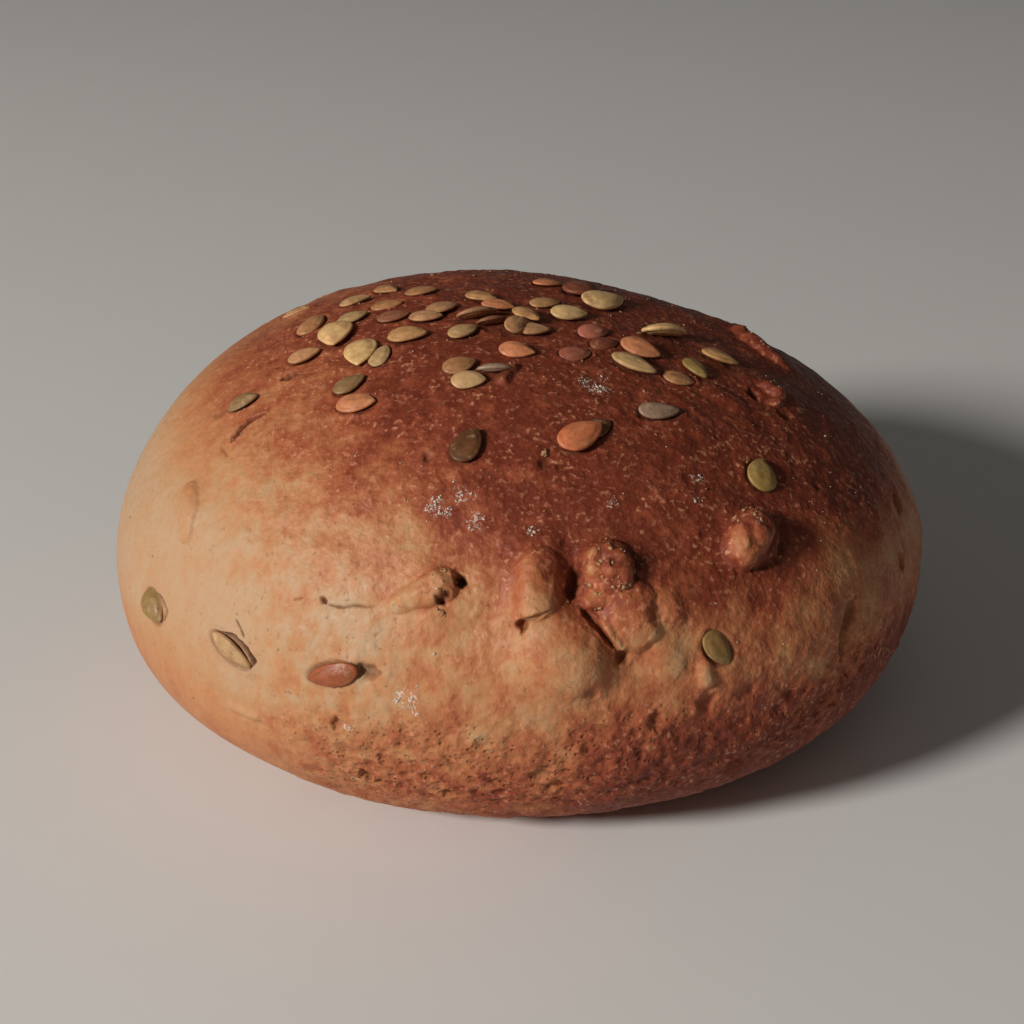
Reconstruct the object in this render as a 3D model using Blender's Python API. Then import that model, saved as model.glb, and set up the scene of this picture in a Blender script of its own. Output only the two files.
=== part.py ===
"""A round multigrain bread loaf, baked free-standing on a tray.

The loaf is one solid. Its base form is an ellipsoid whose upper and lower halves differ, drawn slightly out
of round and with its crown leaning to one side. On it lie the fold where the dough was closed, swellings and
seed-sized lumps under the skin, and a gentle unevenness. Its underside is flat where it stood on the tray.

Metres, +Z up. The origin is the middle of the loaf's footprint, at the height of the tray. A place on the
loaf is a bearing (0 is +X, 90 is +Y) and a latitude (0 is the girth, 90 is the crown), both in degrees.
"""

import math
from collections import namedtuple

import bmesh
import bpy
from mathutils import Vector, noise

# --- Driving dimensions ---------------------------------------------------------------------------------
WIDTH = 0.2115
DEPTH = 0.1975
HEIGHT = 0.109
GIRTH_HEIGHT = 0.0425  # the widest line round the loaf, at its middle
GIRTH_RISE = (0.0013, -0.0036)  # how much higher that line lies at the loaf's +X and +Y sides
UNDERSIDE_REACH = 0.0532  # how far below the girth the underside would curve if no tray stopped it
CROWN_LEAN = -0.0145  # how far the crown sits along X from the middle
SHOULDER_FULLNESS = 1.035  # 1 is an ellipse, and less is fuller
UNDERSIDE_FULLNESS = 0.80
FOOT_SOFTNESS = 0.005  # the height over which the side rounds into the flat foot

# The plan view is an ellipse with a slight three-sided part, as a share of the radius.
TRILOBE_SHARE, TRILOBE_BEARING = 0.006, -46

# Slow unevenness of hand-shaped dough.
WAVE_HEIGHT = 0.0011
WAVE_LENGTH = 0.038
WAVE_SEED = Vector((3.1, 7.4, 1.9))

# --- Mesh density ---------------------------------------------------------------------------------------
CELLS_PER_SIDE = 23  # cells along each edge of the cube that the loaf grows from
FINE_MARGIN = 0.004  # the mesh is twice as fine this far round each feature

Lump = namedtuple("Lump", "bearing latitude height radius")
Groove = namedtuple("Groove", "path depth half_width")

FOLD_MEETS = (-84.5, 24)  # where the three arms of the fold come together
GROOVES = {
    "fold_left_arm": Groove([(-90, 19), (-87, 22), FOLD_MEETS], 0.0026, 0.0055),
    "fold_upper_arm": Groove([FOLD_MEETS, (-82, 27), (-81, 30)], 0.0028, 0.0060),
    "fold_right_arm": Groove([FOLD_MEETS, (-80, 20), (-77, 14)], 0.0032, 0.0060),
    "right_dent": Groove([(-41, 12), (-42, 7), (-44, 1)], 0.0018, 0.0060),
    "side_ledge": Groove([(-69, -3), (-63, -2), (-57, -2)], 0.0014, 0.0060),
}
LUMPS = {
    "swell_below_fold": Lump(-85, 15, 0.0026, 0.018),
    "swell_right_of_fold": Lump(-72, 22, 0.0020, 0.015),
    "swell_left_of_fold": Lump(-87, 28, 0.0026, 0.009),
    "covered_cluster": Lump(-75, 30, 0.0040, 0.0085),
    "covered_lump_right": Lump(-52, 30, 0.0042, 0.0095),
    "covered_seed_front": Lump(-101, 26, 0.0024, 0.0090),
    "covered_seed_left": Lump(-145, 29, 0.0014, 0.0100),
    "crown_ridge_near": Lump(9, 45, 0.0026, 0.0100),
    "crown_ridge_far": Lump(21, 47, 0.0022, 0.0090),
    "crown_blister": Lump(-14, 46, 0.0024, 0.0080),
    "lump_back": Lump(118, 24, 0.0026, 0.0110),
    "lump_back_right": Lump(62, 18, 0.0022, 0.0120),
    "lump_back_left": Lump(163, 20, 0.0020, 0.0100),
}


# --- The base form --------------------------------------------------------------------------------------
def plan_share(bearing):
    """The radius at a bearing, in radians, as a share of the plan ellipse's."""
    return 1 + TRILOBE_SHARE * math.cos(3 * (bearing - math.radians(TRILOBE_BEARING)))


def base_point(bearing, latitude):
    """A point of the base form, with no unevenness and not yet flattened on the tray. Angles in radians."""
    upper = latitude > 0
    fullness = SHOULDER_FULLNESS if upper else UNDERSIDE_FULLNESS
    rise = abs(math.sin(latitude)) ** fullness
    reach = math.cos(latitude) ** fullness
    along_x, along_y = reach * math.cos(bearing), reach * math.sin(bearing)
    lean = CROWN_LEAN * math.sin(latitude) ** 2 if upper else 0.0
    girth = GIRTH_HEIGHT + GIRTH_RISE[0] * along_x + GIRTH_RISE[1] * along_y
    share = plan_share(bearing)
    return Vector(
        (
            WIDTH / 2 * share * along_x + lean,
            DEPTH / 2 * share * along_y,
            girth + ((HEIGHT - GIRTH_HEIGHT) * rise if upper else -UNDERSIDE_REACH * rise),
        )
    )


def outward(point):
    """The base form's outward normal, near enough, at one of its points."""
    above = point.z - GIRTH_HEIGHT
    half_height = HEIGHT - GIRTH_HEIGHT if above > 0 else UNDERSIDE_REACH
    return Vector(
        (point.x / (WIDTH / 2) ** 2, point.y / (DEPTH / 2) ** 2, above / half_height**2)
    ).normalized()


def place(bearing, latitude):
    """base_point() for angles in degrees, as the feature lists state them."""
    return base_point(math.radians(bearing), math.radians(latitude))


def bell(distance, radius):
    """1 at the middle, falling smoothly to 0 at the radius."""
    return (1 - (distance / radius) ** 2) ** 2 if distance < radius else 0.0


def distance_to_path(point, path):
    """How far a point is from a line through the path's points."""
    nearest = math.inf
    for start, end in zip(path, path[1:]):
        run = end - start
        share = min(1.0, max(0.0, (point - start).dot(run) / run.length_squared))
        nearest = min(nearest, (point - start - share * run).length)
    return nearest


LUMP_PLACES = [(place(lump.bearing, lump.latitude), lump) for lump in LUMPS.values()]
GROOVE_PLACES = [([place(*stop) for stop in groove.path], groove) for groove in GROOVES.values()]


def relief(point):
    """How far the crust stands out from the base form at one of its points."""
    height = WAVE_HEIGHT * noise.noise(point / WAVE_LENGTH + WAVE_SEED)
    for middle, lump in LUMP_PLACES:
        height += lump.height * bell((point - middle).length, lump.radius)
    depth = 0.0
    for path, groove in GROOVE_PLACES:
        depth = max(depth, groove.depth * bell(distance_to_path(point, path), groove.half_width))
    return height - depth


def on_tray(height):
    """A height above the tray, with what would reach below it pressed flat and a soft edge round that."""
    if height >= FOOT_SOFTNESS:
        return height
    return max(0.0, height + FOOT_SOFTNESS) ** 2 / (4 * FOOT_SOFTNESS)


def near_feature(point):
    """Whether a point of the base form lies on a lump or a groove, where the mesh is finer."""
    on_lump = any((point - middle).length < lump.radius + FINE_MARGIN for middle, lump in LUMP_PLACES)
    return on_lump or any(
        distance_to_path(point, path) < groove.half_width + FINE_MARGIN for path, groove in GROOVE_PLACES
    )


# --- The mesh -------------------------------------------------------------------------------------------
def angles_of(direction):
    """The bearing and latitude of a direction from the middle, in radians."""
    unit = direction.normalized()
    return math.atan2(unit.y, unit.x), math.asin(max(-1.0, min(1.0, unit.z)))


def cube_grown_round(mesh):
    """A cube cut into cells and grown into a unit sphere whose cells are all about as large."""
    bmesh.ops.create_cube(mesh, size=2)
    bmesh.ops.subdivide_edges(mesh, edges=mesh.edges[:], cuts=CELLS_PER_SIDE - 1, use_grid_fill=True)
    for vertex in mesh.verts:
        even = [math.tan(part * math.pi / 4) for part in vertex.co]
        vertex.co = Vector(even).normalized()


def refine_round_features(mesh):
    """Halves the cells that lie on a lump or a groove."""
    fine = [face for face in mesh.faces if near_feature(base_point(*angles_of(face.calc_center_median())))]
    edges = list({edge for face in fine for edge in face.edges})
    bmesh.ops.subdivide_edges(mesh, edges=edges, cuts=1, use_grid_fill=True)
    bmesh.ops.triangulate(mesh, faces=[face for face in mesh.faces if len(face.verts) > 4])


def shape_loaf(mesh):
    """Moves each point of the sphere onto the loaf, then sets the footprint's middle at the origin."""
    for vertex in mesh.verts:
        point = base_point(*angles_of(vertex.co))
        point += outward(point) * relief(point)
        point.z = on_tray(point.z)
        vertex.co = point
    sides = [[vertex.co[axis] for vertex in mesh.verts] for axis in (0, 1)]
    middle = Vector([(min(side) + max(side)) / 2 for side in sides] + [0.0])
    bmesh.ops.translate(mesh, vec=-middle, verts=mesh.verts)


def crust_material():
    """Golden-brown baked crust."""
    material = bpy.data.materials.new("crust")
    material.use_nodes = True
    shader = material.node_tree.nodes["Principled BSDF"]
    shader.inputs["Base Color"].default_value = (0.40, 0.17, 0.075, 1)
    shader.inputs["Roughness"].default_value = 0.55
    shader.inputs["Metallic"].default_value = 0.0
    return material


def make_loaf(collection):
    mesh = bmesh.new()
    cube_grown_round(mesh)
    refine_round_features(mesh)
    shape_loaf(mesh)
    bmesh.ops.recalc_face_normals(mesh, faces=mesh.faces)
    data = bpy.data.meshes.new("loaf")
    mesh.to_mesh(data)
    mesh.free()
    data.shade_smooth()
    data.materials.append(crust_material())
    loaf = bpy.data.objects.new("loaf", data)
    collection.objects.link(loaf)
    return loaf


def main():
    for old in list(bpy.data.objects):
        bpy.data.objects.remove(old)
    collection = bpy.data.collections.new("bread_loaf")
    bpy.context.scene.collection.children.link(collection)
    make_loaf(collection)


main()
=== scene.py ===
"""The looks of a round multigrain loaf: its baked crust, the seeds strewn on it, its flour and crumbs.

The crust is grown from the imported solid's own surface, made smooth, finer where there is detail, and then
pushed in and out along its normals. Seeds, flour and crumbs are separate pieces of joined meshes that sit on
that crust. Lengths are metres, +Z up. Places that are seen in the photograph are pixels of its 1024 by 1024
picture; a ray from the camera carries each of them onto the crust.
"""

import math
from collections import namedtuple

import bmesh
import bpy
import numpy as np
from mathutils import Matrix, Vector, noise
from mathutils.bvhtree import BVHTree
from mathutils.kdtree import KDTree


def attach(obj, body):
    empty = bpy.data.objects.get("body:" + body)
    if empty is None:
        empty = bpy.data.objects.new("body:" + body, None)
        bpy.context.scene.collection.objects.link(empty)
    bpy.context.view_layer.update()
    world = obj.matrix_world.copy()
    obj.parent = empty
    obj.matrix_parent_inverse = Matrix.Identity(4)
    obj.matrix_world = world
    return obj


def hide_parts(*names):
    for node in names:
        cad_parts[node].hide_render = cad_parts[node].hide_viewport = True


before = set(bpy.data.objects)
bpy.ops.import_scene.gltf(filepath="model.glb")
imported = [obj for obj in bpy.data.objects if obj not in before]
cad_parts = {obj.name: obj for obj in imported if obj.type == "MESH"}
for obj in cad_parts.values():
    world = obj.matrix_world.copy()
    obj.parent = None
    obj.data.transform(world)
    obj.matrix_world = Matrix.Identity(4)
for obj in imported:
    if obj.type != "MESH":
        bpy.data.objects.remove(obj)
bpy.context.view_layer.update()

MM = 0.001
RANDOM_SEED = 20
rng = np.random.default_rng(RANDOM_SEED)

# --- The view ---
PICTURE = 1024  # pixels along each side
LENS, SENSOR = 70, 36  # millimetres
ELEVATION = math.radians(28)
DISTANCE = 0.531
AIM = Vector((-0.0019, 0.0011, 0.0478))
TO_CAMERA = Vector((0, -math.cos(ELEVATION), math.sin(ELEVATION)))
RIGHT = Vector((1, 0, 0))
UP = TO_CAMERA.cross(RIGHT)
CAMERA_PLACE = AIM + DISTANCE * TO_CAMERA
PIXEL = SENSOR / LENS / PICTURE * DISTANCE  # about how much of the loaf a pixel shows

# --- The crust's mesh ---
CELLS = 100  # along each edge of the cube that the crust grows from
ROUNDS_OF_SMOOTHING = 14
CRUST_TRIANGLES = 196_000
MIDDLE = Vector((-0.004, 0, 0.045))  # a point inside the loaf that sees all of its surface

# --- What the photograph shows on the crust ---
# Seeds by the pixels of their two ends, the pointed one last. sunk is the share of the thickness below the
# crust, less than 0 for one that lies on others. lean is the roll about the long axis in degrees, towards
# the camera, and breadth the width as a share of the length.
Seed = namedtuple("Seed", "blunt pointed tint sunk lean breadth", defaults=(0.12, 0, 0.62))
SEEDS = [
    # the left of the crown
    Seed((283, 317), (310, 307), "tan", 0.4),
    Seed((302, 335), (322, 315), "amber", 0.4),
    Seed((341, 304), (369, 295), "straw"),
    Seed((340, 321), (364, 312), "straw"),
    Seed((337, 322), (333, 345), "cream", 0.0, 0, 0.78),
    Seed((374, 365), (386, 345), "straw", 0.3),
    Seed((363, 338), (357, 364), "cream", -0.1, 0, 0.8),
    Seed((293, 358), (314, 350), "tan", 0.1),
    Seed((336, 390), (362, 376), "sage", 0.1),
    Seed((336, 405), (376, 400), "apricot", 0.15),
    Seed((387, 336), (428, 331), "gold", 0.0),
    Seed((379, 318), (407, 313), "chestnut", 0.1),
    Seed((410, 316), (441, 314), "tan", 0.1),
    Seed((431, 308), (453, 303), "tan", -0.2),
    Seed((408, 292), (435, 288), "amber"),
    Seed((379, 289), (394, 290), "amber", 0.5),
    Seed((380, 307), (394, 304), "amber", 0.5),
    # the middle of the crown
    Seed((468, 293), (495, 297), "gold", -0.1),
    Seed((487, 301), (509, 304), "apricot", -0.3),
    Seed((458, 316), (500, 310), "tan", -0.5, -40),
    Seed((478, 321), (509, 317), "chestnut", -0.3, -40),
    Seed((450, 334), (476, 325), "straw", 0.0),
    Seed((442, 368), (476, 358), "amber", -0.2, 10),
    Seed((452, 379), (485, 377), "straw", -0.1, 10),
    Seed((483, 368), (507, 367), "ash", -0.3, -45, 0.5),
    Seed((499, 346), (535, 351), "apricot", 0.0, 12),
    Seed((514, 327), (551, 329), "tan", 0.1),
    Seed((517, 307), (537, 317), "gold", -0.5),
    Seed((508, 325), (521, 315), "tan", -0.5, 20),
    Seed((534, 281), (562, 283), "apricot"),
    Seed((530, 303), (560, 301), "gold"),
    Seed((550, 311), (588, 312), "cream", -0.1, 10),
    Seed((580, 302), (626, 300), "cream", -0.1, 10),
    Seed((567, 291), (598, 288), "russet"),
    Seed((580, 331), (607, 329), "rose", 0.0, 12),
    Seed((594, 345), (615, 342), "russet", 0.4),
    Seed((560, 355), (590, 353), "rose", 0.4, 8),
    # the right of the crown
    Seed((645, 331), (690, 334), "cream", -0.4, -35, 0.55),
    Seed((622, 339), (661, 355), "apricot", -0.1, 10, 0.66),
    Seed((612, 354), (657, 373), "straw", -0.1, -5, 0.55),
    Seed((687, 358), (706, 375), "olive", -0.1),
    Seed((702, 349), (739, 363), "gold", -0.1, -5),
    Seed((664, 375), (694, 382), "amber", 0.4),
    # those that lie apart
    Seed((230, 406), (254, 395), "sage", 0.15),
    Seed((638, 411), (680, 411), "ash", 0.15, 0, 0.5),
    Seed((586, 434), (609, 421), "umber", 0.3),
    Seed((559, 446), (602, 425), "orange", -0.1),
    Seed((456, 461), (478, 428), "umber", 0.0, 0, 0.66),
    Seed((763, 490), (761, 458), "olive", 0.1, 0, 0.82),
    Seed((706, 633), (730, 664), "moss", 0.35, -10, 0.66),
    Seed((146, 590), (160, 623), "moss", 0.25, -30, 0.68),
    Seed((213, 634), (250, 667), "straw", 0.55, 15, 0.45),
    # the one that shows through the skin low on the left
    Seed((358, 671), (307, 678), "clay", 0.25, 0, 0.43),
]

TINTS = {
    "cream": (0.82, 0.51, 0.22),
    "straw": (0.58, 0.35, 0.155),
    "gold": (0.58, 0.30, 0.12),
    "tan": (0.56, 0.28, 0.13),
    "amber": (0.48, 0.22, 0.09),
    "apricot": (0.70, 0.26, 0.115),
    "orange": (0.69, 0.20, 0.082),
    "rose": (0.45, 0.14, 0.085),
    "chestnut": (0.31, 0.115, 0.06),
    "russet": (0.25, 0.070, 0.037),
    "umber": (0.14, 0.055, 0.020),
    "sage": (0.28, 0.155, 0.065),
    "olive": (0.36, 0.23, 0.068),
    "moss": (0.30, 0.18, 0.057),
    "ash": (0.38, 0.245, 0.165),
    "clay": (0.37, 0.090, 0.030),
}

# Soft swellings by the pixels along their middle line, with their width in pixels, their height in
# millimetres, which is less than 0 where the loaf is flatter, and how much paler than its surroundings each
# one is. start is the share of its size that a bulge has at its first point.
Swelling = namedtuple("Swelling", "path width height pale start", defaults=(0, 1))
SWELLINGS = [
    # the loaf's slow unevenness
    Swelling([(372, 785), (545, 797)], 150, -1.4),
    Swelling([(665, 785), (720, 768)], 90, -0.7),
    Swelling([(172, 418), (215, 372)], 120, 1.0),
    Swelling([(200, 710), (250, 745)], 90, 0.7),
    Swelling([(655, 305), (705, 322)], 110, 1.2),
    Swelling([(380, 290), (430, 282)], 90, -0.7),
    Swelling([(690, 600), (720, 590)], 60, 0.7),
    Swelling([(714, 392), (736, 404)], 30, 0.9),
    Swelling([(480, 590), (470, 600)], 34, 0.7, 0.05),
    # the paler stretches above the fold's right arm and far on the right, and a darker stretch of the crown,
    # painted shade
    Swelling([(640, 470), (662, 560)], 110, 0.3, 0.16),
    Swelling([(812, 505), (846, 565)], 90, 0.3, 0.17),
    Swelling([(604, 394), (655, 400)], 70, -0.1, -0.13),
    # seeds and lumps under the skin
    Swelling([(232, 706), (256, 717)], 12, 0.7, 0.05),
    Swelling([(704, 668), (706, 680)], 17, 1.4, 0.25),
    Swelling([(664, 600), (669, 612)], 32, 0.9),
    Swelling([(668, 658), (673, 662)], 34, 0.9, 0.10),
    Swelling([(605, 622), (622, 645)], 9, 0.7, 0.25),
    Swelling([(512, 368), (502, 381)], 15, 1.3, 0.35),
    # the dough below the fold
    Swelling([(553, 636), (574, 652)], 94, 3.5, 0.10),
    Swelling([(560, 612), (594, 628)], 30, 0.2, -0.10),
    # the upper lump of the fold, and its paler left face: partly torn skin, partly painted light from the
    # left
    Swelling([(543, 564), (535, 596)], 62, 1.5, 0.05),
    Swelling([(528, 572), (536, 606)], 24, 0.6, 0.32),
    # the torn lump above the fold: its pale left face, then its knobs
    Swelling([(592, 558), (594, 590)], 22, 0.2, 0.28),
    Swelling([(596, 557)], 13, 0.9, 0.30),
    Swelling([(607, 552)], 10, 0.5, 0.15),
    Swelling([(618, 560)], 13, 0.8),
    Swelling([(611, 573)], 11, 0.8, 0.20),
    Swelling([(597, 571)], 12, 0.9, 0.35),
    Swelling([(624, 574)], 11, 0.7),
    Swelling([(605, 584)], 10, 0.6, 0.25),
    # the paler left face of the lump on the right: partly torn skin, partly painted light from the left
    Swelling([(734, 536), (741, 556)], 26, 0.5, 0.25),
]

# Swellings with a clear foot all round; where two meet, a crease is left between them.
BULGES = [
    # the fold
    Swelling([(541, 570), (535, 600)], 38, 1.5, 0.10),
    Swelling([(604, 562), (612, 574)], 45, 3.0, 0.12),
    Swelling([(593, 600), (604, 599)], 17, 1.9, 0.30),
    Swelling([(627, 603), (632, 625)], 50, 2.3, -0.03),
    # the covered seeds at the front and on the left
    Swelling([(398, 604), (441, 584)], 32, 2.8, 0.15, 0.55),
    Swelling([(189, 493), (189, 510), (185, 531)], 25, 1.2, -0.06),
    # the lump on the right
    Swelling([(756, 526), (743, 549)], 38, 3.5, 0.22),
    # the ridge on the right shoulder
    Swelling([(739, 335)], 20, 2.3, 0.27),
    Swelling([(787, 369), (768, 354), (751, 342)], 25, 2.5, 0.26, 0.30),
    # the blister below it
    Swelling([(768, 387)], 14, 1.7, 0.20),
    Swelling([(777, 394)], 17, 2.0, 0.25),
    Swelling([(775, 403)], 13, 1.5, 0.30),
]

# Grooves and hollows by the pixels along them, with their half-width and depth in millimetres, how dark
# their bottom is painted, which is painted shade, and how high a lip they have, as a share of the depth.
Dent = namedtuple("Dent", "path half_width depth dark lip", defaults=(0.08,))
DENTS = [
    # the fold's three arms
    Dent([(523, 624)], 1.9, 1.4, 0.55),
    Dent([(523, 633), (525, 621), (534, 615), (543, 610)], 1.5, 1.3, 0.6),
    Dent([(573, 568), (572, 585), (567, 603)], 2.1, 2.5, 0.9),
    Dent([(579, 606), (590, 619), (602, 634), (614, 648)], 1.2, 1.8, 0.8, 0.15),
    Dent([(616, 652), (625, 660)], 3.0, 1.5, 0.45),
    Dent([(626, 550), (636, 560), (634, 582)], 1.7, 1.3, 0.75),
    Dent([(652, 604), (656, 622)], 2.4, 0.8, 0.3),
    Dent([(603, 564)], 1.0, 0.8, 0.7),
    Dent([(612, 564), (615, 567)], 0.8, 0.7, 0.6),
    Dent([(604, 578)], 0.9, 0.6, 0.6),
    Dent([(590, 563)], 0.7, 0.6, 0.5),
    # cracks in the skin
    Dent([(231, 443), (237, 434), (243, 427), (250, 421), (266, 413)], 1.2, 1.6, 1.0, 0.2),
    Dent([(221, 446), (228, 457)], 0.6, 0.3, 0.4),
    Dent([(293, 600), (303, 598)], 0.4, 0.3, 0.6),
    Dent([(322, 597), (326, 604)], 0.9, 0.9, 1.0),
    Dent([(326, 604), (334, 606), (343, 608), (352, 606), (375, 607)], 0.45, 0.6, 0.75),
    Dent([(236, 619), (240, 628), (244, 638)], 0.5, 0.7, 0.9),
    # gaps beside the seeds that lie in the crust
    Dent([(221, 631), (235, 638), (247, 650), (254, 661), (250, 668)], 0.9, 2.2, 1.0),
    Dent([(154, 590), (162, 598), (167, 610), (165, 621)], 0.6, 0.9, 0.8),
    # the hollows beside the covered seeds
    Dent([(354, 670), (379, 674)], 2.6, 1.9, 0.6, 0),
    Dent([(465, 577), (456, 585)], 2.3, 2.8, 1.0),
    Dent([(449, 592), (438, 603)], 1.7, 2.0, 0.95),
    # the hollow round the lump on the right
    Dent([(781, 518), (784, 540), (774, 562), (754, 570)], 1.9, 1.1, 0.55),
    # others
    Dent([(281, 381), (291, 375), (300, 371)], 1.7, 1.8, 1.0),
    Dent([(214, 416), (229, 409)], 2.6, 0.4, 0.35),
    Dent([(750, 389), (757, 399)], 2.0, 1.5, 0.9),
    Dent([(776, 412), (792, 418)], 2.6, 0.7, 0.4),
    Dent([(716, 321), (730, 326)], 2.4, 0.8, 0.4),
    Dent([(854, 597), (849, 614), (844, 634), (842, 660)], 2.8, 1.5, 0.5),
    Dent([(698, 702), (716, 704)], 4.2, 1.2, 0.25, 0),
    Dent([(736, 694), (756, 688)], 3.2, 0.9, 0.2, 0),
    Dent([(336, 717), (334, 731)], 1.6, 0.9, 0.4),
    Dent([(656, 711), (657, 732)], 2.2, 1.1, 0.5),
    Dent([(589, 692)], 2.4, 0.8, 0.45),
    Dent([(545, 464)], 2.4, 0.9, 0.5),
    Dent([(427, 458)], 2.0, 0.9, 0.6),
    Dent([(361, 776), (367, 786)], 2.6, 2.4, 0.6),
    Dent([(440, 799), (455, 801)], 2.3, 1.7, 0.55),
    Dent([(894, 494), (898, 511)], 2.4, 0.9, 0.4),
    Dent([(900, 549), (903, 570)], 2.4, 0.9, 0.4),
    Dent([(817, 487)], 1.6, 0.6, 0.4),
]

# Dustings of flour, and spots with loose crumbs, by pixel, with their radius in millimetres.
Spot = namedtuple("Spot", "pixel radius")
DUSTINGS = [
    Spot((436, 507), 2.2),
    Spot((460, 494), 1.8),
    Spot((476, 522), 1.8),
    Spot((448, 512), 1.2),
    Spot((590, 384), 2.4),
    Spot((604, 391), 1.8),
    Spot((697, 479), 1.4),
    Spot((696, 500), 0.8),
    Spot((612, 503), 1.0),
    Spot((534, 530), 1.2),
    Spot((405, 700), 2.4),
    Spot((413, 709), 1.4),
    Spot((346, 726), 1.6),
    Spot((752, 526), 0.9),
]
CRUMBLY = [
    Spot((604, 566), 4.2),
    Spot((613, 578), 2.6),
    Spot((599, 598), 1.6),
    Spot((557, 608), 1.4),
    Spot((446, 577), 1.6),
    Spot((440, 609), 1.6),
    Spot((548, 453), 1.0),
    Spot((752, 524), 2.0),
]


# --- Small helpers ---
PATTERN_STEP = 7.31  # wavelengths between the places where two patterns of noise are taken


def ramp(values, low, high):
    """0 up to low, 1 from high on, and a smooth rise between; low may be the greater one."""
    share = np.clip((values - low) / (high - low), 0, 1)
    return share * share * (3 - 2 * share)


def bell(distances, radius):
    """1 in the middle, falling smoothly to 0 at the radius."""
    share = np.clip(distances / radius, 0, 1)
    return (1 - share * share) ** 2


def rolling(points, wavelength, pattern):
    """Smooth noise from about -1 to 1 at each row of an array of points."""
    places = points / wavelength + pattern * PATTERN_STEP
    return np.array([noise.noise(place) for place in places.tolist()])


def scattered_rounds(points, spacing, radius, pattern):
    """Round bumps of uneven size, from 0 to 1 high, about this far apart. The radius is a share of that."""
    found = np.zeros(len(points))
    for number, place in enumerate((points / spacing + pattern * PATTERN_STEP).tolist()):
        distances, centres = noise.voronoi(place)
        size = 0.55 + 0.9 * noise.noise(centres[0] * 3.7)
        found[number] = size * max(0.0, 1 - (distances[0] / (radius * (0.5 + size))) ** 2)
    return np.clip(found, 0, 1)


def distance_to_path(points, path):
    """How far each point is from a line through the path's points, and how far along it, from 0 to 1."""
    nearest = np.full(len(points), np.inf)
    along = np.full(len(points), 0.5)
    if len(path) == 1:
        return np.linalg.norm(points - path[0], axis=1), along
    for number, (start, end) in enumerate(zip(path[:-1], path[1:])):
        run = end - start
        share = np.clip((points - start) @ run / (run @ run), 0, 1)
        distance = np.linalg.norm(points - start - share[:, None] * run, axis=1)
        closer = distance < nearest
        nearest[closer] = distance[closer]
        along[closer] = (number + share[closer]) / (len(path) - 1)
    return nearest, along


def surface_of(piece):
    """A piece's surface, on which rays and nearest places are found."""
    return BVHTree.FromPolygons(
        [vertex.co for vertex in piece.data.vertices],
        [face.vertices for face in piece.data.polygons],
    )


def add_to_scene(name, data):
    """A new object in the scene."""
    added = bpy.data.objects.new(name, data)
    bpy.context.scene.collection.objects.link(added)
    return added


# --- The smooth form of the loaf ---
FACING_WELL = 0.3  # the least cosine between the crust's normal and the way to the camera
SEED_ABOVE_CRUST = 5 * MM  # how far above the crust a seed may reach
ROUNDS_OF_AIMING = 4


def grow_smooth_form(solid):
    """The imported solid's surface as an even mesh without facets."""
    surface = surface_of(solid)
    mesh = bmesh.new()
    bmesh.ops.create_cube(mesh, size=2)
    bmesh.ops.subdivide_edges(mesh, edges=mesh.edges[:], cuts=CELLS - 1, use_grid_fill=True)
    for vertex in mesh.verts:
        direction = Vector([math.tan(part * math.pi / 4) for part in vertex.co]).normalized()
        vertex.co = surface.ray_cast(MIDDLE, direction)[0]
    for _ in range(ROUNDS_OF_SMOOTHING):
        bmesh.ops.smooth_vert(
            mesh, verts=mesh.verts, factor=0.5, use_axis_x=True, use_axis_y=True, use_axis_z=True
        )
    bmesh.ops.recalc_face_normals(mesh, faces=mesh.faces)
    mesh.normal_update()
    return mesh


def through_pixel(pixel):
    """The direction from the camera through a pixel."""
    share = SENSOR / LENS / PICTURE
    across, upward = (pixel[0] - PICTURE / 2) * share, (PICTURE / 2 - pixel[1]) * share
    return (RIGHT * across + UP * upward - TO_CAMERA).normalized()


def seen_at(pixel, form, lift=0.0):
    """The place on the loaf whose spot this far above it is seen at a pixel, and the normal there."""
    place, normal = None, Vector((0, 0, 1))
    for _ in range(ROUNDS_OF_AIMING):
        hit, slope, _, _ = form.ray_cast(CAMERA_PLACE - normal * lift, through_pixel(pixel))
        if hit is not None:
            place, normal = hit, slope
    return place, normal


def path_seen(pixels, form):
    return np.array([seen_at(pixel, form)[0] for pixel in pixels])


def faces_camera(place, normal):
    """Whether a point of the crust faces the camera well."""
    return normal.dot((CAMERA_PLACE - place).normalized()) > FACING_WELL


def hidden(place, normal, form):
    """Whether the camera can't see even a seed that stands on a place."""
    top = place + normal * SEED_ABOVE_CRUST
    way = CAMERA_PLACE - top
    return form.ray_cast(top, way.normalized(), way.length)[0] is not None


# --- Seeds: where they lie ---
Lying = namedtuple("Lying", "place along across out length width thickness sunk tint")

SEED_LENGTHS = (8.5 * MM, 13.5 * MM)
USUAL_LENGTH = 11 * MM
SEED_THICKNESS = (0.19, 0.25)  # as shares of the length


def lying(place, normal, along, length, seed, thickness):
    """A seed's place and its own three directions, on a crust with that normal."""
    along = (along - along.dot(normal) * normal).normalized()
    roll = Matrix.Rotation(math.radians(seed.lean), 3, along)
    across = normal.cross(along)
    width = length * seed.breadth
    return Lying(place, along, roll @ across, roll @ normal, length, width, thickness, seed.sunk, seed.tint)


def seeds_in_view(form):
    """The seeds of the list, carried onto the crust."""
    found = []
    for seed in SEEDS:
        share = rng.uniform(*SEED_THICKNESS)
        lift = USUAL_LENGTH * share * (0.5 - seed.sunk)
        blunt, pointed = (seen_at(pixel, form, lift)[0] for pixel in (seed.blunt, seed.pointed))
        place, normal, _, _ = form.find_nearest((blunt + pointed) / 2)
        length = min(max((blunt - pointed).length, SEED_LENGTHS[0]), SEED_LENGTHS[1])
        found.append(lying(place, normal, pointed - blunt, length, seed, length * share))
    return found


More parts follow.
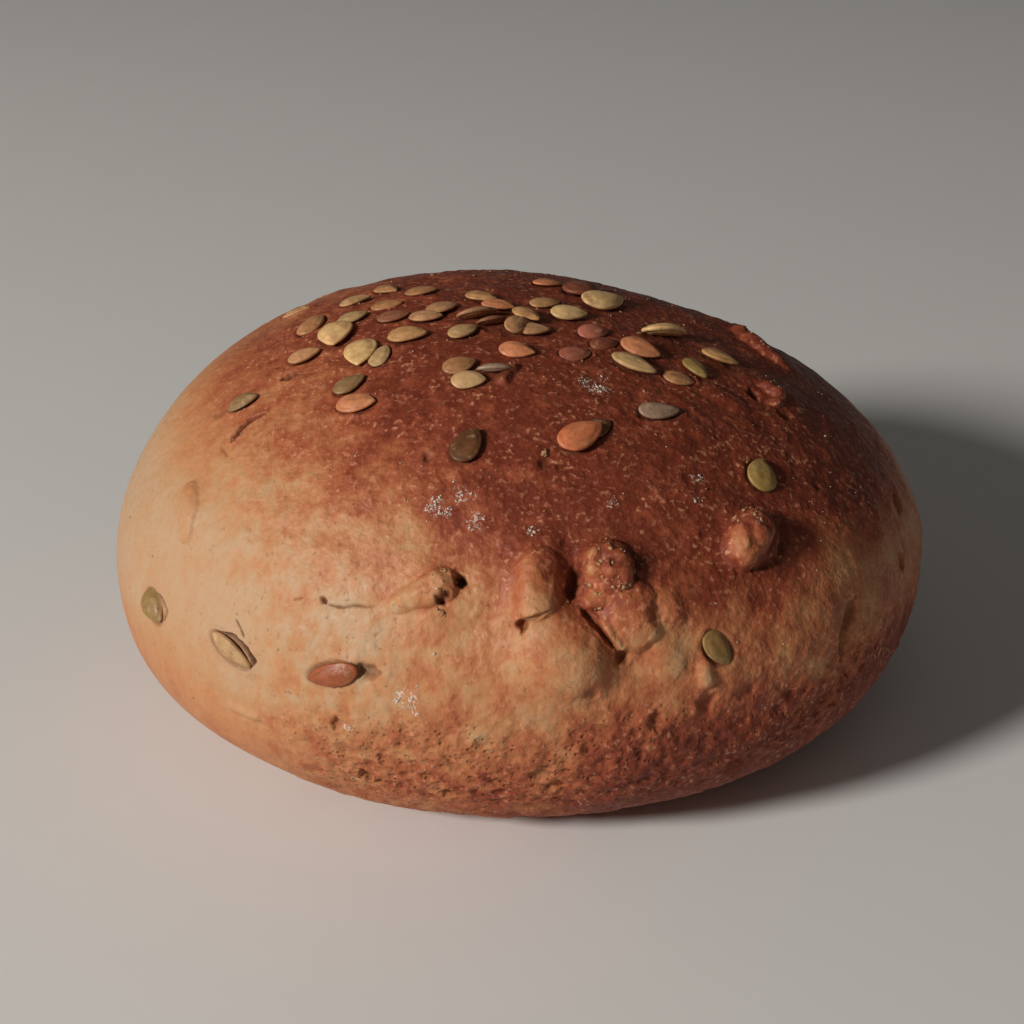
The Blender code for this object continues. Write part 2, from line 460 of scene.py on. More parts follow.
# Seeds out of view, by the zone that they are strewn over: how many places are tried, within which bearings
# and latitudes in degrees as seen from the middle, and how far the seeds are sunk.
Strewn = namedtuple("Strewn", "tries bearings latitudes sunk")
STREWN = [
    Strewn(700, (0, 180), (38, 80), (-0.1, 0.2)),
    Strewn(14, (-30, 210), (-6, 36), (0.35, 0.6)),
]
STREWN_TINTS = ["cream", "straw", "straw", "gold", "tan", "tan", "amber", "apricot", "chestnut", "sage"]
STREWN_LENGTHS = (9.2 * MM, 12.2 * MM)
STREWN_BREADTHS = (0.56, 0.70)
STREWN_LEAN = 8  # degrees, about how far they lean either way
SEED_SPACING = 6.5 * MM


def direction_to(bearing, latitude):
    """A direction from two angles in degrees."""
    turn, rise = math.radians(bearing), math.radians(latitude)
    return Vector((math.cos(turn) * math.cos(rise), math.sin(turn) * math.cos(rise), math.sin(rise)))


def seeds_out_of_view(form, seen):
    """More of the same where the camera can't see: most on the back of the crown, a few lower down."""
    places = [seed.place for seed in seen]
    found = []
    for zone in STREWN:
        for _ in range(zone.tries):
            direction = direction_to(rng.uniform(*zone.bearings), rng.uniform(*zone.latitudes))
            place, normal, _, _ = form.ray_cast(MIDDLE, direction)
            near = min((place - other).length for other in places) < SEED_SPACING
            if near or not hidden(place, normal, form):
                continue
            places.append(place)
            tint = STREWN_TINTS[rng.integers(len(STREWN_TINTS))]
            sunk, lean = rng.uniform(*zone.sunk), rng.normal(0, STREWN_LEAN)
            seed = Seed(None, None, tint, sunk, lean, rng.uniform(*STREWN_BREADTHS))
            length = rng.uniform(*STREWN_LENGTHS)
            thickness = length * rng.uniform(*SEED_THICKNESS)
            found.append(lying(place, normal, Vector(rng.normal(size=3)), length, seed, thickness))
    return found


# --- The crust: its points ---
BROAD = 60  # pixels; swellings as wide as this or wider need no finer mesh


def detail_places(form, seeds):
    """Places with a radius round which the crust's mesh is fine, and those round which it is finest."""
    fine = [(seed.place, seed.length * 0.75) for seed in seeds]
    finest = []
    for swelling in SWELLINGS + BULGES:
        if swelling.width < BROAD:
            finest += spots_along(path_seen(swelling.path, form), swelling.width * PIXEL * 0.7)
    for dent in DENTS:
        finest += spots_along(path_seen(dent.path, form), dent.half_width * MM + 0.9 * MM)
    return fine, finest


def spots_along(path, radius):
    """Places along a path, five to each of its runs, each with this radius."""
    stops = [Vector(stop) for stop in path]
    runs = zip(stops, stops[1:] or stops)
    return [(start.lerp(end, share), radius) for start, end in runs for share in (0, 0.25, 0.5, 0.75, 1)]


LOW_BAND_TOP, LOW_BAND_FULL = 0.053, 0.040  # where the porous band starts, and is at its full
CLEARLY_POROUS = 0.3
CALMEST = 0.85  # how much less uneven the crust is at the far left


def porous(points):
    """How porous the crust is at each point, from 0 to 1: low down, but not on the left."""
    x, _, z = points.T
    low = ramp(z - 0.05 * x, LOW_BAND_TOP, LOW_BAND_FULL)
    return low * ramp(x, -0.070, -0.030) * ramp(z, 0.002, 0.010)


def pitted(points):
    """How pitted the crust is at each point: where it is porous, and there unevenly."""
    return porous(points) * (0.6 + 0.4 * ramp(rolling(points, 24 * MM, 1.0), -0.4, 0.2))


def calm(points):
    """How smooth the crust is at each point, from 0 to the calmest: only on the left."""
    return CALMEST * ramp(points[:, 0] + 0.25 * points[:, 2], -0.035, -0.065)


def finder_of(spots):
    """A function that says whether a place lies within the radius of one of these spots."""
    reach = max(radius for _, radius in spots)
    tree = KDTree(len(spots))
    for number, (place, _) in enumerate(spots):
        tree.insert(place, number)
    tree.balance()
    return lambda place: any(gap < spots[number][1] for _, number, gap in tree.find_range(place, reach))


def refine(mesh, fine, finest):
    """Halves the cells near detail and in view, and again where the detail is finest."""
    for level, spots in enumerate((fine + finest, finest)):
        near_detail = finder_of(spots)
        middles = [face.calc_center_median() for face in mesh.faces]
        wanted = porous(np.array(middles)) > CLEARLY_POROUS if level else np.ones(len(middles), bool)
        chosen = [
            face
            for face, middle, is_wanted in zip(mesh.faces, middles, wanted)
            if is_wanted and faces_camera(middle, face.normal) or near_detail(middle)
        ]
        edges = list({edge for face in chosen for edge in face.edges})
        bmesh.ops.subdivide_edges(mesh, edges=edges, cuts=1, use_grid_fill=True)
        bmesh.ops.triangulate(mesh, faces=[face for face in mesh.faces if len(face.verts) > 4])
    bmesh.ops.triangulate(mesh, faces=mesh.faces)
    mesh.normal_update()


class Skin:
    """The crust's points while they are shaped: where they are, which way is out, and what happens there."""

    def __init__(self, mesh):
        self.points = np.array([vertex.co for vertex in mesh.verts])
        self.normals = np.array([vertex.normal for vertex in mesh.verts])
        count = len(self.points)
        # dark holds painted shade: in the bottoms of dents and pits and round the feet of seeds
        self.height, self.dark, self.pale = np.zeros(count), np.zeros(count), np.zeros(count)
        self.flour, self.bare = np.zeros(count), np.zeros(count)
        self.pitted, self.calm = pitted(self.points), calm(self.points)

    def near(self, path, reach):
        """The numbers of the points this near a path, with their distances and shares along it."""
        middle = path.mean(axis=0)
        radius = np.linalg.norm(path - middle, axis=1).max() + reach
        offsets = self.points - middle
        chosen = np.flatnonzero((offsets * offsets).sum(axis=1) < radius * radius)
        return chosen, *distance_to_path(self.points[chosen], path)


# --- The crust: its shape ---
def press_seed(skin, seed):
    """The crust rises in a low lip round a seed and dips under it, with shade painted in a ring round its
    foot.
    """
    chosen, _, _ = skin.near(np.array([seed.place]), seed.length)
    offsets = skin.points[chosen] - np.array(seed.place)
    along, across = offsets @ np.array(seed.along), offsets @ np.array(seed.across)
    share = np.hypot(along / (seed.length / 2), across / (seed.width / 2))
    sunk = max(0.0, seed.sunk)
    lip = np.exp(-(((share - 1.20) / 0.15) ** 2)) * (0.05 + 0.7 * sunk) * MM
    dip = ramp(share, 1.10, 0.80) * (0.15 + 1.1 * sunk) * MM
    skin.height[chosen] += lip - dip
    # painted shade in a ring round the seed's foot
    skin.dark[chosen] = np.maximum(skin.dark[chosen], ramp(share, 1.22, 0.95) * 0.6)
    skin.bare[chosen] = np.maximum(skin.bare[chosen], ramp(share, 1.4, 1.1))


def raise_swelling(skin, swelling, form):
    radius = swelling.width * PIXEL / 2
    chosen, distances, _ = skin.near(path_seen(swelling.path, form), radius * 1.3)
    rise = ramp(distances / radius, 1.15, 0.15)
    skin.height[chosen] += swelling.height * MM * rise
    skin.pale[chosen] += swelling.pale * rise


def raise_bulges(skin, form):
    """Knobbly domes with a clear foot. Where two meet, the higher one counts, which leaves a crease."""
    rise = np.zeros(len(skin.points))
    for bulge in BULGES:
        radius = bulge.width * PIXEL / 2
        chosen, distances, along = skin.near(path_seen(bulge.path, form), radius * 1.3)
        size = bulge.start + (1 - bulge.start) * along
        wander = 0.12 * rolling(skin.points[chosen], 4.5 * MM, 21.0)
        share = np.clip(distances / (radius * size) + wander, 0, 1)
        bumps = 1 + 0.16 * rolling(skin.points[chosen], 1.7 * MM, 22.0)
        dome = (1 - share * share) ** 0.75 * bumps
        rise[chosen] = np.maximum(rise[chosen], bulge.height * MM * size * dome)
        skin.pale[chosen] += bulge.pale * ramp(share, 1.0, 0.5)
    skin.height += rise


def cut_dent(skin, dent, form):
    half_width, depth = dent.half_width * MM, dent.depth * MM
    chosen, distances, along = skin.near(path_seen(dent.path, form), half_width * 2)
    wander = rolling(skin.points[chosen], 1.6 * MM, 3.0) * 0.4 * min(half_width, 1.5 * MM)
    taper = 0.35 + 0.65 * ramp(np.minimum(along, 1 - along), 0, 0.22)
    share = (distances + wander) / (half_width * taper)
    lip = np.exp(-(((share - 1.25) / 0.3) ** 2)) * dent.lip * depth
    skin.height[chosen] += lip - depth * taper * ramp(share, 1.0, 0.0)
    # painted shade, darkest at the bottom of the groove
    skin.dark[chosen] = np.maximum(skin.dark[chosen], dent.dark * ramp(share, 1.0, 0.25))


def dust(skin, spot, form):
    reach = spot.radius * MM * 2
    chosen, distances, _ = skin.near(path_seen([spot.pixel], form), reach)
    patchy = 0.6 + 0.6 * rolling(skin.points[chosen], 2.2 * MM, 15.0)
    skin.flour[chosen] = np.maximum(skin.flour[chosen], bell(distances, reach) * patchy)


Wave = namedtuple("Wave", "height wavelength pattern")  # the first two in millimetres
WAVES = [Wave(0.34, 13, 2.0), Wave(0.31, 6.5, 3.0), Wave(0.18, 3.1, 4.0), Wave(0.06, 1.5, 5.0)]


def roughen(skin):
    """The crust's own unevenness: waves, then grains."""
    lively = 1 - skin.calm
    for wave in WAVES:
        skin.height += lively * wave.height * MM * rolling(skin.points, wave.wavelength * MM, wave.pattern)
    grains = ramp(rolling(skin.points, 2.7 * MM, 6.0), 0.15, 0.55)
    grains *= ramp(rolling(skin.points, 11 * MM, 7.0), -0.4, 0.3)
    skin.height += lively * (1 - skin.pitted) * 0.24 * MM * grains
    skin.pale += 0.05 * lively * grains


def cut_pits(skin):
    """Pits of two sizes, with shade painted into their bottoms, where the crust is porous."""
    large_pits = scattered_rounds(skin.points, 3.9 * MM, 0.48, 8.0)
    small_pits = scattered_rounds(skin.points, 2.2 * MM, 0.50, 9.0)
    skin.height -= skin.pitted * (0.90 * large_pits + 0.50 * small_pits) * MM
    skin.height += skin.pitted * 0.30 * MM * rolling(skin.points, 2.6 * MM, 10.0)
    # painted shade in the pits' bottoms
    skin.dark = np.maximum(skin.dark, skin.pitted * (0.35 * large_pits + 0.15 * small_pits))


# --- The crust: its colouring ---
CAP_EDGE_LEFT, CAP_EDGE_RIGHT = 0.088, 0.073  # the height where the brown cap ends, left and right
CAP_FADE_LEFT, CAP_FADE_RIGHT = 0.024, 0.013  # and over how much height, each way, it fades


def browning(skin):
    """How brown each point is, from 0, pale, to 1, dark: from baking, and on the right partly painted shade.
    """
    points = skin.points
    x, _, z = points.T
    drift = 6 * MM * rolling(points, 32 * MM, 11.0) + 3 * MM * rolling(points, 9 * MM, 12.0)
    drift += 1.5 * MM * rolling(points, 3.5 * MM, 17.0)
    rightward = ramp(x, -0.035, 0.025)
    edge = CAP_EDGE_LEFT + (CAP_EDGE_RIGHT - CAP_EDGE_LEFT) * rightward
    fade = CAP_FADE_LEFT + (CAP_FADE_RIGHT - CAP_FADE_LEFT) * rightward
    cap = ramp((z + drift - edge) / fade, -1, 1)
    # browner towards the right, and low down more so on the right: partly deeper baking, partly painted
    # shade
    side = 0.03 + 0.46 * ramp(x, -0.080, 0.050) - 0.10 * ramp(x, 0.080, 0.105)
    foot = 0.32 * ramp(z + 0.5 * drift, 0.055, 0.028) * (1 + 1.1 * ramp(x, 0, 0.04))
    patches = 0.18 * rolling(points, 14 * MM, 13.0) + 0.20 * rolling(points, 6 * MM, 14.0)
    lively = 0.15 + 0.85 * ramp(x, -0.085, -0.030)
    return np.clip(side + 0.74 * cap + foot + patches * lively - skin.pale, 0, 1)


# --- The crust: its piece ---
FOOT_TOP = 0.4 * MM  # below this height the smooth form is flat foot
FOOT_RISE = 0.1 * MM  # how far above the tray the foot lies by itself


def write_attribute(data, name, values):
    attribute = data.attributes.new(name, "FLOAT", "POINT")
    attribute.data.foreach_set("value", values.astype(np.float32))


def thin(piece, triangles):
    """Thins a piece's mesh to about this many triangles, most where it is plainest."""
    modifier = piece.modifiers.new("thin", "DECIMATE")
    modifier.ratio = min(1.0, triangles / len(piece.data.polygons))
    evaluated = piece.evaluated_get(bpy.context.evaluated_depsgraph_get())
    old, piece.data = piece.data, bpy.data.meshes.new_from_object(evaluated)
    piece.modifiers.clear()
    bpy.data.meshes.remove(old)


def shaped_skin(mesh, form, seeds):
    """The crust's points, with all that happens on them."""
    skin = Skin(mesh)
    roughen(skin)
    cut_pits(skin)
    for swelling in SWELLINGS:
        raise_swelling(skin, swelling, form)
    raise_bulges(skin, form)
    for dent in DENTS:
        cut_dent(skin, dent, form)
    for seed in seeds:
        press_seed(skin, seed)
    for spot in DUSTINGS:
        dust(skin, spot, form)
    return skin


def moved_points(skin):
    """Each point moved out by its height; the foot stays near the tray, and nothing lies below that."""
    moved = skin.points + skin.normals * skin.height[:, None]
    on_foot = skin.points[:, 2] < FOOT_TOP
    moved[on_foot, 2] = np.maximum(0, skin.height[on_foot] * 0.5 + FOOT_RISE)
    moved[:, 2] = np.maximum(moved[:, 2], 0)
    return moved


def make_crust(mesh, form, seeds):
    refine(mesh, *detail_places(form, seeds))
    skin = shaped_skin(mesh, form, seeds)
    for vertex, place in zip(mesh.verts, moved_points(skin).tolist()):
        vertex.co = place
    data = bpy.data.meshes.new("crust")
    mesh.to_mesh(data)
    write_attribute(data, "browning", browning(skin))
    # dark: painted shade in hollows, pits and round seeds
    write_attribute(data, "dark", skin.dark)
    write_attribute(data, "flour", skin.flour * (1 - skin.bare))
    write_attribute(data, "low", skin.pitted)
    write_attribute(data, "calm", skin.calm)
    crust = add_to_scene("crust", data)
    thin(crust, CRUST_TRIANGLES)
    crust.data.shade_smooth()
    return crust


# --- Seeds: their shape ---
SEED_RINGS = (0.0, 0.28, 0.52, 0.70, 0.82, 0.90, 0.96, 1.0)  # from the middle out to the outline
SEED_SIDES = 30


def seed_outline(turns):
    """The teardrop outline of a hulled pumpkin seed of half-length and half-width 1, pointed end at +1."""
    along = np.cos(turns)
    width = 0.975 * (1 - along) ** 0.75 * (1 + along) ** 0.5
    return along, np.sign(np.sin(turns)) * width


def seed_rise(ring, side, across, number):
    """How far a ring's points stand out, as a share of half the thickness: a dome with a rim and ribs."""
    dome = (1 - ring**3.0) ** 0.60
    rim = 0.17 * math.exp(-(((ring - 0.82) / 0.06) ** 2))
    ribs = 0.08 * np.sin(across * ring * 7 + number) * dome
    dent = 0.10 * noise.noise((number * 5.1, side, 0)) * (1 - ring)
    return dome - rim + ribs + dent


def seed_points(seed, number):
    """A seed's points in its own directions: the upper side's rings, then the under side's."""
    turns = np.linspace(0, 2 * math.pi, SEED_SIDES, endpoint=False)
    along, across = seed_outline(turns)
    wobble = 1 + 0.07 * np.array([noise.noise((math.cos(t), math.sin(t), number * 3.7)) for t in turns])
    rings = [(ring, 1) for ring in SEED_RINGS] + [(ring, -1) for ring in SEED_RINGS[:-1]]
    points = []
    for ring, side in rings:
        rise = side * seed.thickness / 2 * seed_rise(ring, side, across, number)
        flat = along * ring * wobble * seed.length / 2, across * ring * wobble * seed.width / 2
        points.append(np.stack([*flat, rise], axis=1))
    return np.concatenate(points)


def seed_shape(seed, number):
    """The points and faces of one seed, slightly bent, on the crust."""
    points = seed_points(seed, number)
    bend = 0.06 * noise.noise((number * 1.9, 0, 0)) + 0.02
    points[:, 2] -= bend * (points[:, 0] / (seed.length / 2)) ** 2 * seed.length
    centre = seed.place + seed.out * seed.thickness * (0.5 - seed.sunk)
    return points @ np.array([seed.along, seed.across, seed.out]) + np.array(centre), seed_faces()


def seed_faces():
    """The faces between the rings of a seed: the upper side's rings, then the under side's."""
    upper = len(SEED_RINGS)
    faces = []
    for ring in range(upper - 1):
        faces += ring_faces(ring * SEED_SIDES, (ring + 1) * SEED_SIDES, False)
    for ring in range(upper - 2):
        faces += ring_faces((upper + ring) * SEED_SIDES, (upper + ring + 1) * SEED_SIDES, True)
    faces += ring_faces((2 * upper - 2) * SEED_SIDES, (upper - 1) * SEED_SIDES, True)
    return faces


def ring_faces(inner, outer, flip):
    faces = []
    for side in range(SEED_SIDES):
        after = (side + 1) % SEED_SIDES
        face = [inner + side, outer + side, outer + after, inner + after]
        faces.append(face[::-1] if flip else face)
    return faces


def weld(data):
    """Joins a mesh's points that lie on one another, and cuts its faces into triangles."""
    mesh = bmesh.new()
    mesh.from_mesh(data)
    bmesh.ops.remove_doubles(mesh, verts=mesh.verts, dist=MM / 1000)
    bmesh.ops.triangulate(mesh, faces=mesh.faces)
    mesh.to_mesh(data)
    mesh.free()


def joined(name, shapes, tints=None):
    """One piece made of many closed shapes, each a (points, faces) pair, with a colour for each."""
    points, faces = [], []
    for places, sides in shapes:
        faces += [[len(points) + corner for corner in side] for side in sides]
        points += places.tolist()
    data = bpy.data.meshes.new(name)
    data.from_pydata(points, [], faces)
    if tints is not None:
        colours = np.repeat(tints, [len(places) for places, _ in shapes], axis=0)
        opaque = np.column_stack([colours, np.ones(len(colours))]).astype(np.float32)
        data.attributes.new("tint", "FLOAT_COLOR", "POINT").data.foreach_set("color", opaque.ravel())
    weld(data)
    data.shade_smooth()
    return add_to_scene(name, data)


def make_seeds(seeds):
    shapes = [seed_shape(seed, number) for number, seed in enumerate(seeds)]
    tints = []
    for seed in seeds:
        spread = 1 + rng.normal(0, 0.06) + rng.normal(0, 0.015, size=3)
        tints.append(np.clip(np.array(TINTS[seed.tint]) * spread, 0, 1))
    return joined("pumpkin_seeds", shapes, tints)


# --- Flour and crumbs ---
FLOUR_IN_DUSTINGS = 8  # grains in a dusting of 1 mm radius
HEAPS = 4  # in each dusting
STRAY_FLOUR = 700
CRUMBS_PER_MM = 4.4  # of a crumbly spot's radius
STRAY_CRUMBS = 150
# Flour grains: the least size, the usual spread above it and the greatest size, in millimetres.
DUSTING_SIZES = (0.14, 0.13, 0.65)
STRAY_SIZES = (0.12, 0.07, 0.50)


def grain_shape(place, normal, size, flatness):
    """A small uneven grain with eight corners, half sunk in the crust."""
    corners = np.array([[x, y, z] for z in (-1, 1) for y in (-1, 1) for x in (-1, 1)], dtype=float)
    corners *= (1, rng.uniform(0.5, 1), flatness)
    corners += rng.normal(0, 0.2, size=(8, 3))
    turn = Matrix.Rotation(rng.uniform(0, 2 * math.pi), 3, "Z")
    upright = Vector((0, 0, 1)).rotation_difference(normal).to_matrix()
    placed = corners * size / 2 @ np.array((upright @ turn).transposed())
    centre = np.array(place + normal * size * flatness * 0.2)
    faces = [(0, 2, 3, 1), (4, 5, 7, 6), (0, 1, 5, 4), (2, 6, 7, 3), (0, 4, 6, 2), (1, 3, 7, 5)]
    return placed + centre, faces


def strewn_round(middle, radius, surface):
    """A random place on a surface, near a point."""
    place, normal, _, _ = surface.find_nearest(middle + Vector(rng.normal(size=3)) * radius * 0.5)
    return place, normal


def strewn_anywhere(surface):
    """A random place on a surface, anywhere but underneath."""
    direction = direction_to(rng.uniform(0, 360), math.degrees(math.asin(rng.uniform(-0.15, 1))))
    place, normal, _, _ = surface.find_nearest(MIDDLE + direction * 0.1)
    return place, normal


def flour_size(least, spread, greatest):
    """A random size for a grain of flour, from sizes in millimetres."""
    return min(greatest, least + rng.exponential(spread)) * MM


def make_flour(surface, form):
    """Grains in the dustings, close together in a few places, and strays over the whole loaf."""
    shapes = []
    for spot in DUSTINGS:
        middle, _ = seen_at(spot.pixel, form)
        radius = spot.radius * MM
        heaps = [middle + Vector(rng.normal(size=3)) * radius * 0.6 for _ in range(HEAPS)]
        for number in range(int(FLOUR_IN_DUSTINGS * spot.radius**1.5)):
            place, out = strewn_round(heaps[number % HEAPS], radius * 0.55, surface)
            shapes.append(grain_shape(place, out, flour_size(*DUSTING_SIZES), 0.55))
    for _ in range(STRAY_FLOUR):
        place, out = strewn_anywhere(surface)
        shapes.append(grain_shape(place, out, flour_size(*STRAY_SIZES), 0.6))
    return joined("flour_grains", shapes)


def make_crumbs(surface, form):
    """Crumbs of baked dough and flakes of bran, close together where the crust is torn."""
    shapes = []
    for spot in CRUMBLY:
        middle, _ = seen_at(spot.pixel, form)
        for _ in range(int(CRUMBS_PER_MM * spot.radius)):
            place, out = strewn_round(middle, spot.radius * MM, surface)
            shapes.append(grain_shape(place, out, rng.uniform(0.35, 1.2) * MM, rng.uniform(0.3, 0.6)))
    for _ in range(STRAY_CRUMBS):
        place, out = strewn_anywhere(surface)
        shapes.append(grain_shape(place, out, rng.uniform(0.3, 0.7) * MM, 0.3))
    return joined("crumbs", shapes)


# --- Materials ---
class Paint:
    """A material's nodes, with a short way to add them. An input is a value or another node's output."""

    def __init__(self, name):
        self.material = bpy.data.materials.new(name)
        self.material.use_nodes = True
        self.tree = self.material.node_tree
        self.shader = self.tree.nodes["Principled BSDF"]

    def node(self, kind, inputs=None, **settings):
        node = self.tree.nodes.new("ShaderNode" + kind)
        for name, value in settings.items():
            setattr(node, name, value)
        self.fill(node, inputs or {})
        return node

    def fill(self, node, inputs):
        for name, value in inputs.items():
            if isinstance(value, bpy.types.NodeSocket):
                self.tree.links.new(value, node.inputs[name])
            else:
                node.inputs[name].default_value = value

    def place(self, stretch=1.0):
        """Where on the object a point is; stretch makes patterns longer upwards."""
        place = self.node("TexCoord").outputs["Object"]
        if stretch == 1.0:
            return place
        return self.node("Mapping", {"Vector": place, "Scale": (1, 1, 1 / stretch)}).outputs[0]

    def noise(self, scale, detail=3.0, roughness=0.55, stretch=1.0):
        inputs = {"Vector": self.place(stretch), "Scale": scale, "Detail": detail, "Roughness": roughness}
        return self.node("TexNoise", inputs).outputs["Fac"]

    def rounds(self, scale, radius):
        """Soft round spots, of uneven strength from 0 to 1, scattered this many to the metre."""
        node = self.node("TexVoronoi", {"Vector": self.place(), "Scale": scale})
        round_spot = self.span(node.outputs["Distance"], radius, radius * 0.2)
        return self.times(round_spot, self.span(node.outputs["Color"], 0.35, 0.75))

    def attribute(self, name, output="Fac"):
        return self.node("Attribute", attribute_name=name).outputs[output]

    def times(self, first, second):
        return self.node("Math", {0: first, 1: second}, operation="MULTIPLY").outputs[0]

    def plus(self, first, second, clamp=False):
        return self.node("Math", {0: first, 1: second}, operation="ADD", use_clamp=clamp).outputs[0]

    def span(self, value, low, high, start=0.0, end=1.0):
        """start up to low, end from high on, and even between."""
        inputs = {"Value": value, "From Min": low, "From Max": high, "To Min": start, "To Max": end}
        return self.node("MapRange", inputs).outputs[0]

    def mix(self, share, first, second):
        node = self.node("Mix", data_type="RGBA")
        for socket, value in ((0, share), (6, first), (7, second)):
            is_colour = socket > 0 and not isinstance(value, bpy.types.NodeSocket)
            self.fill(node, {socket: (*value, 1) if is_colour else value})
        return node.outputs[2]

    def stops(self, value, colours):
        """A colour ramp with a colour at each place from 0 to 1."""
        node = self.node("ValToRGB", {"Fac": value})
        elements = node.color_ramp.elements
        while len(elements) < len(colours):
            elements.new(0.5)
        for element, (place, colour) in zip(elements, colours):
            element.position = place
            element.color = (*colour, 1)
        return node.outputs["Color"]

    def bump(self, height, distance, strength=1.0, under=None):
        inputs = {"Height": height, "Distance": distance, "Strength": strength}
        if under is not None:
            inputs["Normal"] = under
        return self.node("Bump", inputs).outputs[0]

    def finish(self, colour, roughness, normal, gloss=0.5):
        self.fill(self.shader, {"Base Color": colour, "Roughness": roughness, "Normal": normal})
        self.shader.inputs["Specular IOR Level"].default_value = gloss
        return self.material


CRUST_COLOURS = [
    (0.00, (0.53, 0.333, 0.190)),
    (0.15, (0.535, 0.285, 0.138)),
    (0.30, (0.53, 0.236, 0.100)),
    (0.45, (0.48, 0.174, 0.071)),
    (0.60, (0.415, 0.120, 0.048)),
    (0.80, (0.305, 0.067, 0.029)),
    (1.00, (0.185, 0.034, 0.015)),
]
# painted shade: the dark brown that pores, pits, grooves and the feet of seeds are darkened towards
RECESS_SHADE_BROWN = (0.10, 0.025, 0.009)
FLECK_BROWN = (0.13, 0.045, 0.020)
# partly the crust's paler grain tips, partly a painted highlight on them
PALE_TIP_HIGHLIGHT = (0.68, 0.29, 0.155)
FLOUR_WHITE = (0.82, 0.75, 0.66)
MOTTLES = [(110, 0.26), (300, 0.26), (700, 0.14)]  # how many to the metre, and their spread in browning
TOASTED_SEED, PALE_SEED = (0.30, 0.115, 0.045), (0.78, 0.56, 0.30)
FLOUR_COLOURS = (0.50, 0.38, 0.28), (0.78, 0.67, 0.55)  # the darkest and the lightest
CRUMB_COLOURS = (0.26, 0.10, 0.04), (0.62, 0.37, 0.18)


def mottled_browning(paint, shade, rough_skin):
    """The crust's colour from how brown it is baked, mottled at three sizes."""
    for scale, spread in MOTTLES:
        mottle = paint.span(paint.noise(scale, 2, 0.6, 1.5), 0.3, 0.7, -spread / 2, spread / 2)
        shade = paint.plus(shade, paint.times(mottle, rough_skin), clamp=True)
    return paint.stops(shade, CRUST_COLOURS)


def with_specks(paint, colour, grain, grainy, rough_skin):
    """The colour with the pale tips of grains, partly a painted highlight on them, and with dark flecks."""
    in_patches = paint.span(paint.noise(140, 2), 0.40, 0.60, 0.20, 0.80)
    tips = paint.times(paint.span(grain, 0.56, 0.70), in_patches)
    # pale grain tips: partly paler crust, partly a painted highlight where the grain's bump is highest
    colour = paint.mix(paint.times(tips, grainy), colour, PALE_TIP_HIGHLIGHT)
    flecks = paint.times(paint.span(paint.noise(700, 2, 0.5), 0.64, 0.72), 0.4)
    return paint.mix(paint.times(flecks, rough_skin), colour, FLECK_BROWN)


def with_flour(paint, colour):
    flour = paint.attribute("flour")
    dusty = paint.plus(paint.noise(1300, 4, 0.65), paint.times(flour, 0.22))
    dusty = paint.times(paint.span(dusty, 0.62, 0.72), paint.span(flour, 0.02, 0.3))
    return paint.mix(paint.times(dusty, 0.8), colour, FLOUR_WHITE)


def paint_crust(crust):
    paint = Paint("baked_crust")
    baked, low, dark = (paint.attribute(name) for name in ("browning", "low", "dark"))
    rough_skin = paint.span(paint.attribute("calm"), 0.0, CALMEST, 1.0, 0.40)
    grainy = paint.times(rough_skin, paint.span(baked, 0.2, 0.5, 0.5, 1.0))
    grain = paint.noise(760, 2, 0.5, 1.3)
    pores = paint.times(paint.rounds(700, 0.42), low)
    colour = mottled_browning(paint, baked, rough_skin)
    colour = with_specks(paint, colour, grain, grainy, rough_skin)
    # painted shade in the pores and in the dark marks of grooves, pits and seed feet
    for strength in (paint.times(pores, 0.3), paint.times(dark, 0.85)):
        colour = paint.mix(strength, colour, RECESS_SHADE_BROWN)
    colour = with_flour(paint, colour)
    roughness = paint.span(paint.noise(700, 3), 0.3, 0.7, 0.44, 0.62)
    roughness = paint.plus(roughness, paint.times(low, 0.16))
    roughness = paint.plus(roughness, paint.times(dark, 0.35), clamp=True)
    relief = paint.bump(paint.times(grain, grainy), 0.0003)
    relief = paint.bump(paint.noise(330, 2, 0.5), 0.0005, under=relief)
    relief = paint.bump(paint.times(pores, -1.0), 0.0005, under=relief)
    crust.data.materials.clear()
    crust.data.materials.append(paint.finish(colour, roughness, relief, 0.28))


def paint_seeds(seeds):
    paint = Paint("pumpkin_seed_skin")
    toasted = paint.times(paint.span(paint.noise(260, 2), 0.52, 0.70), 0.45)
    colour = paint.mix(toasted, paint.attribute("tint", "Color"), TOASTED_SEED)
    pale = paint.times(paint.span(paint.noise(380, 2), 0.58, 0.74), 0.35)
    colour = paint.mix(pale, colour, PALE_SEED)
    streaks = paint.span(paint.noise(700, 3), 0.3, 0.7, 0.80, 1.12)
    shaded = paint.node("HueSaturation", {"Color": colour, "Value": streaks}).outputs["Color"]
    roughness = paint.span(paint.noise(900, 2), 0.3, 0.7, 0.36, 0.52)
    relief = paint.bump(paint.noise(1400, 3), 0.00015, 0.6)
    seeds.data.materials.append(paint.finish(shaded, roughness, relief, 0.4))


def paint_plain(piece, name, colours, roughness):
    """Grains too small to show more than their colour's variation."""
    paint = Paint(name)
    colour = paint.mix(paint.noise(450, 2), *colours)
    rough = paint.span(paint.noise(2500, 2), 0.3, 0.7, roughness - 0.08, roughness + 0.08)
    piece.data.materials.append(paint.finish(colour, rough, paint.bump(paint.noise(5000, 2), 0.00004, 0.5)))


# --- Floor, light and camera ---
FLOOR_SIZE = 12
FLOOR_HEIGHT = -0.1 * MM  # a hair below the loaf's foot
FLOOR_COLOUR = (0.82, 0.81, 0.79)
KEY_BEARING, KEY_ELEVATION, KEY_DISTANCE = -141, 28, 2.2
KEY_SIZE = 0.42
KEY_POWER = 41.5
KEY_COLOUR = (1.0, 0.965, 0.92)
FILL_PLACE = Vector((0.2, -1.2, 1.9))
FILL_SIZE = 1.6
FILL_POWER = 1
WORLD_COLOUR = (1.0, 0.94, 0.86, 1)
WORLD_STRENGTH = 0.065


